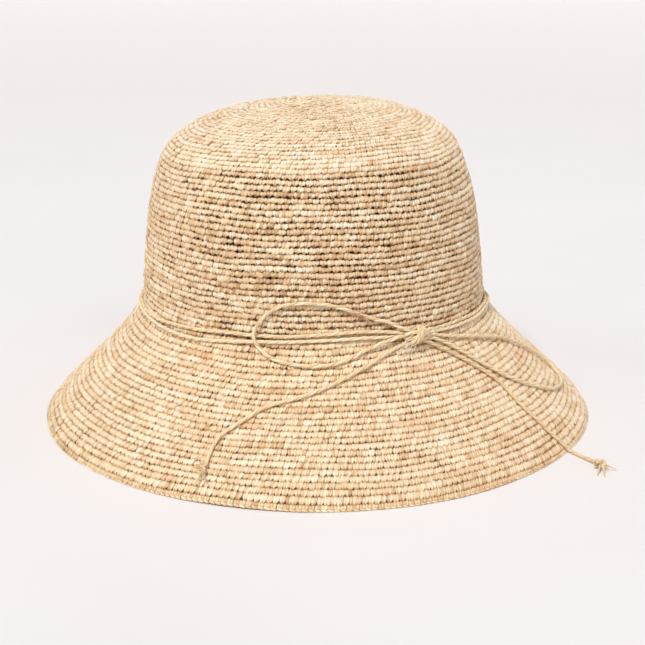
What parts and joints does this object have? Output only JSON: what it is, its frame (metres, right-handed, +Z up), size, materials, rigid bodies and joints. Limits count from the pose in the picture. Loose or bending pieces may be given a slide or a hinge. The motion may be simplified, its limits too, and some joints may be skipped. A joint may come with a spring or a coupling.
{
  "type": "straw sun hat",
  "caption": "Crocheted straw sun hat with a tall round crown, a steep bell brim and a twisted straw cord tied round the crown in a bow.",
  "frame": {"origin": "centre of the brim's hem, on the surface the hat stands on", "axes": "+Z up through the crown; -Y is the front; the bow is at the front right as seen from the front"},
  "size_m": [0.306, 0.306, 0.175],
  "materials": {
    "crochet_crown": "natural raffia, single crochet",
    "crochet_brim": "natural raffia, tight single crochet",
    "crochet_edge": "natural raffia, finishing round",
    "raffia_cord": "two-ply twisted raffia",
    "raffia_ends": "loose split raffia fibres",
    "raffia_splice": "reddish splice fibres",
    "ribbon": "ribbed grosgrain ribbon",
    "thread": "sewing thread"
  },
  "bodies": {
    "hat": {"start_ring": "crochet_crown", "crown_tip": "crochet_crown", "crown_side": "crochet_crown", "brim": "crochet_brim", "brim_edge": "crochet_edge", "sweatband": "ribbon", "sweatband_join": "ribbon", "sweatband_stitching": "thread"},
    "trim": {"band_cord_upper": "raffia_cord", "band_cord_lower": "raffia_cord", "bow_knot": "raffia_cord", "knot_wisps": "raffia_ends"},
    "loop_left": {"bow_loop_left": "raffia_cord", "splice_tuft": "raffia_splice"},
    "loop_right": {"bow_loop_right": "raffia_cord"},
    "tail_left": {"bow_tail_left": "raffia_cord", "tail_knot_left": "raffia_cord", "frayed_ends_left": "raffia_ends"},
    "tail_right": {"bow_tail_right": "raffia_cord", "tail_knot_right": "raffia_cord", "frayed_ends_right": "raffia_ends"}
  },
  "joints": [
    {"name": "trim_turn", "type": "hinge", "parent": "hat", "child": "trim", "pos_m": [0, 0, 0.065], "axis": [0, 0, 1], "continuous": true},
    {"name": "loop_left_lift", "type": "hinge", "parent": "trim", "child": "loop_left", "pos_m": [0.0486, -0.0859, 0.0637], "axis": [-0.5371, 0.5863, 0.6064], "range_deg": [0, 40]},
    {"name": "tail_left_lift", "type": "hinge", "parent": "trim", "child": "tail_left", "pos_m": [0.0486, -0.0859, 0.0637], "axis": [-0.5371, 0.5863, 0.6064], "range_deg": [0, 40]},
    {"name": "loop_right_lift", "type": "hinge", "parent": "trim", "child": "loop_right", "pos_m": [0.05732, -0.08035, 0.0622], "axis": [-0.01, -0.9003, -0.4351], "range_deg": [0, 45]},
    {"name": "tail_right_lift", "type": "hinge", "parent": "trim", "child": "tail_right", "pos_m": [0.05732, -0.08035, 0.0622], "axis": [-0.01, -0.9003, -0.4351], "range_deg": [0, 45]}
  ]
}
